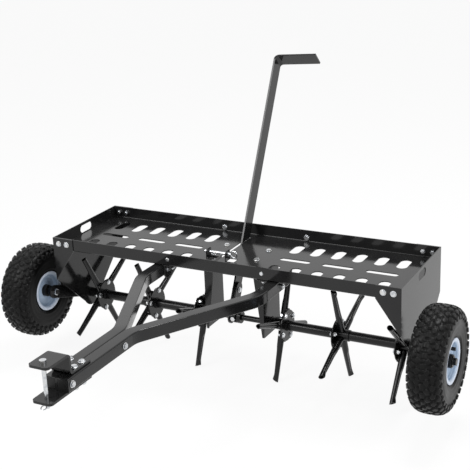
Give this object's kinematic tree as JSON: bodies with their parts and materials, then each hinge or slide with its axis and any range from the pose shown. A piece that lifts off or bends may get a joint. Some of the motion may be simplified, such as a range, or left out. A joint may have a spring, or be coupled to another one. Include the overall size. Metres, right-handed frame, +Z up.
{
  "type": "tow behind plug aerator",
  "caption": "Tow-behind plug aerator: slotted weight tray over a shaft of spoon-tined wheels, lift lever with two transport wheels, and a square-tube drawbar with a pin hitch.",
  "frame": {"origin": "on the ground under the middle of the bounding box, in the working position", "axes": "+X across the machine to its right as seen from the hitch looking at the tray, +Y back from the hitch to the lever, +Z up"},
  "size_m": [1.2782, 1.249, 0.8252],
  "materials": {
    "black_paint": "gloss black powder coat on folded sheet and tube",
    "black_steel": "satin black paint on shaft, spacers, axle bolts, hubs and tines",
    "zinc": "bright zinc plate on bolts and pins",
    "rim_paint": "pale blue-white gloss paint on the pressed rims",
    "tyre": "matt black moulded rubber with block tread",
    "bush": "black nylon bushes and tube plugs",
    "valve": "black rubber valve stems"
  },
  "bodies": {
    "tray": {"tray_deck": "black_paint", "left_side_panel": "black_paint", "right_side_panel": "black_paint", "left_center_bracket": "black_paint", "right_center_bracket": "black_paint", "shaft_bushes": "bush", "left_drawbar_tube": "black_paint", "right_drawbar_tube": "black_paint", "left_drawbar_ear": "black_paint", "right_drawbar_ear": "black_paint", "hitch_strap": "black_paint", "hitch_plate": "black_paint", "tube_plugs": "bush", "panel_bolts": "zinc", "bracket_bolts": "zinc", "drawbar_bolts": "zinc", "hitch_bolts": "zinc"},
    "lift": {"cross_shaft": "black_steel", "left_wheel_arm": "black_steel", "right_wheel_arm": "black_steel", "lift_lever": "black_paint", "lever_crank": "black_steel", "lever_bolts": "zinc", "shaft_collar": "black_steel", "left_axle_bolt": "black_steel", "right_axle_bolt": "black_steel", "axle_nuts": "zinc", "left_long_spacers": "black_steel", "right_long_spacers": "black_steel", "short_spacers": "black_steel"},
    "tine_wheel_1": {"tine_hub_1": "black_steel", "tines_1": "black_steel", "tine_bolts_1": "zinc"},
    "tine_wheel_2": {"tine_hub_2": "black_steel", "tines_2": "black_steel", "tine_bolts_2": "zinc"},
    "tine_wheel_3": {"tine_hub_3": "black_steel", "tines_3": "black_steel", "tine_bolts_3": "zinc"},
    "tine_wheel_4": {"tine_hub_4": "black_steel", "tines_4": "black_steel", "tine_bolts_4": "zinc"},
    "tine_wheel_5": {"tine_hub_5": "black_steel", "tines_5": "black_steel", "tine_bolts_5": "zinc"},
    "tine_wheel_6": {"tine_hub_6": "black_steel", "tines_6": "black_steel", "tine_bolts_6": "zinc"},
    "left_wheel": {"left_tyre": "tyre", "left_rim": "rim_paint", "left_wheel_bush": "bush", "left_valve": "valve"},
    "right_wheel": {"right_tyre": "tyre", "right_rim": "rim_paint", "right_wheel_bush": "bush", "right_valve": "valve"},
    "latch": {"latch_pin": "zinc"},
    "hitch_pin_body": {"hitch_pin": "zinc"},
    "clip": {"hairpin_clip": "zinc"}
  },
  "joints": [
    {"name": "lift_swing", "type": "hinge", "parent": "tray", "child": "lift", "pos_m": [0, 0.25852, 0.14837], "axis": [1, 0, 0], "range_deg": [0, 36]},
    {"name": "tine_wheel_1_spin", "type": "hinge", "parent": "lift", "child": "tine_wheel_1", "pos_m": [-0.467, 0.25852, 0.14837], "axis": [1, 0, 0], "continuous": true},
    {"name": "tine_wheel_2_spin", "type": "hinge", "parent": "lift", "child": "tine_wheel_2", "pos_m": [-0.2935, 0.25852, 0.14837], "axis": [1, 0, 0], "continuous": true},
    {"name": "tine_wheel_3_spin", "type": "hinge", "parent": "lift", "child": "tine_wheel_3", "pos_m": [-0.12, 0.25852, 0.14837], "axis": [1, 0, 0], "continuous": true},
    {"name": "tine_wheel_4_spin", "type": "hinge", "parent": "lift", "child": "tine_wheel_4", "pos_m": [0.12, 0.25852, 0.14837], "axis": [1, 0, 0], "continuous": true},
    {"name": "tine_wheel_5_spin", "type": "hinge", "parent": "lift", "child": "tine_wheel_5", "pos_m": [0.2935, 0.25852, 0.14837], "axis": [1, 0, 0], "continuous": true},
    {"name": "tine_wheel_6_spin", "type": "hinge", "parent": "lift", "child": "tine_wheel_6", "pos_m": [0.467, 0.25852, 0.14837], "axis": [1, 0, 0], "continuous": true},
    {"name": "left_wheel_spin", "type": "hinge", "parent": "lift", "child": "left_wheel", "pos_m": [-0.594, 0.1252, 0.19428], "axis": [1, 0, 0], "continuous": true},
    {"name": "right_wheel_spin", "type": "hinge", "parent": "lift", "child": "right_wheel", "pos_m": [0.594, 0.1252, 0.19428], "axis": [1, 0, 0], "continuous": true},
    {"name": "latch_slide", "type": "slide", "parent": "tray", "child": "latch", "axis": [1, 0, 0], "range_m": [0, 0.05]},
    {"name": "hitch_pin_slide", "type": "slide", "parent": "tray", "child": "hitch_pin_body", "axis": [0, 0, 1], "range_m": [0, 0.006]},
    {"name": "clip_slide", "type": "slide", "parent": "hitch_pin_body", "child": "clip", "axis": [0, -1, 0], "range_m": [0, 0.03]}
  ]
}
